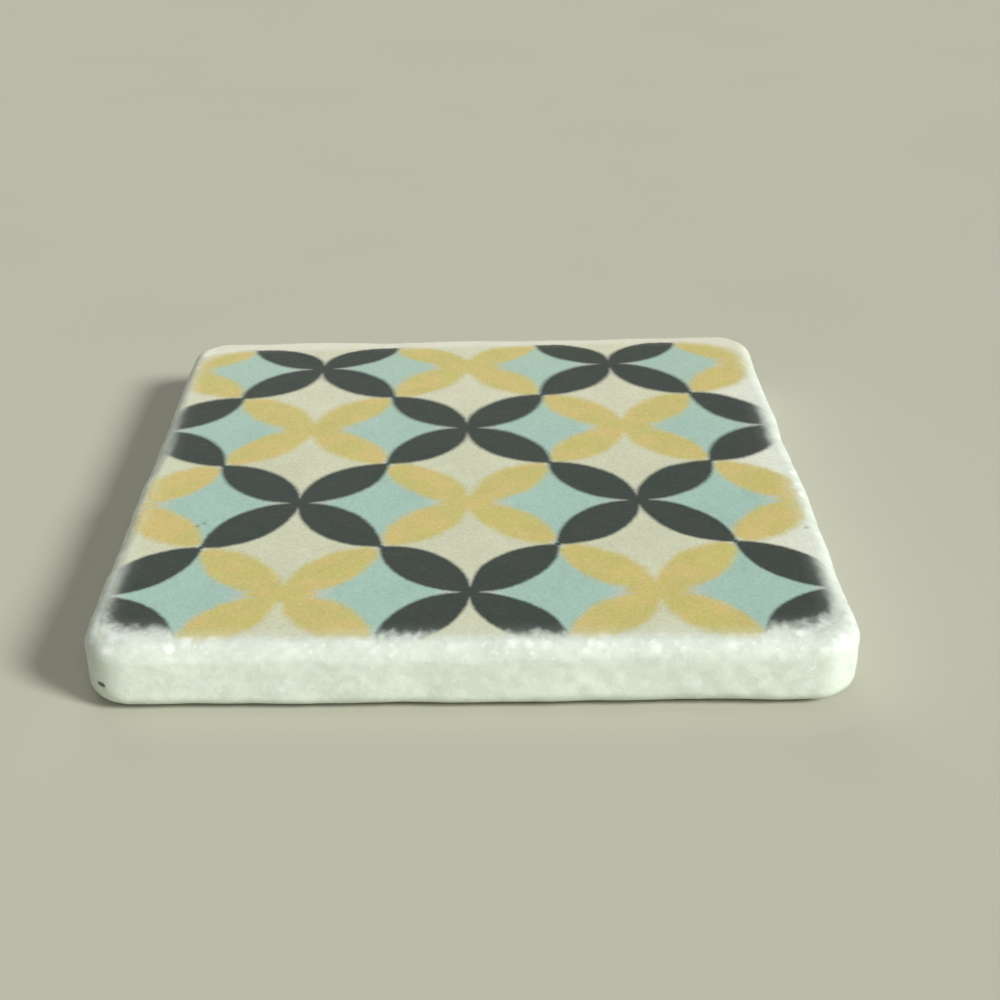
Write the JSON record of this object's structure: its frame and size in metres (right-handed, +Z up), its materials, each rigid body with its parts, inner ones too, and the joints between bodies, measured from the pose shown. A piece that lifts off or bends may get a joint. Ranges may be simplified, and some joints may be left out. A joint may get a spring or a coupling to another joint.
{
  "type": "drink coaster",
  "caption": "Square drink coaster of tumbled white marble with a printed overlapping-circle pattern in charcoal, mustard, aqua and cream, standing on thin round cork pads.",
  "frame": {"origin": "on the table plane under the middle of the tile: the undersides of the cork pads lie at z = 0", "axes": "+Z up, out of the printed top; +Y from the front edge to the rear edge; +X to the right seen from the front"},
  "size_m": [0.1, 0.101, 0.0103],
  "materials": {
    "marble": "tumbled, satin",
    "cream_ink": "matte",
    "aqua_ink": "matte",
    "mustard_ink": "matte",
    "charcoal_ink": "matte",
    "cork": "cut cork",
    "adhesive": "satin"
  },
  "bodies": {
    "root": {"stone_tile": "marble", "cream_stars": "cream_ink", "aqua_stars": "aqua_ink", "mustard_petals": "mustard_ink", "charcoal_petals": "charcoal_ink", "cork_pad_front_left": "cork", "cork_pad_front_right": "cork", "cork_pad_rear_left": "cork", "cork_pad_rear_right": "cork", "adhesive_front_left": "adhesive", "adhesive_front_right": "adhesive", "adhesive_rear_left": "adhesive", "adhesive_rear_right": "adhesive"}
  },
  "joints": []
}
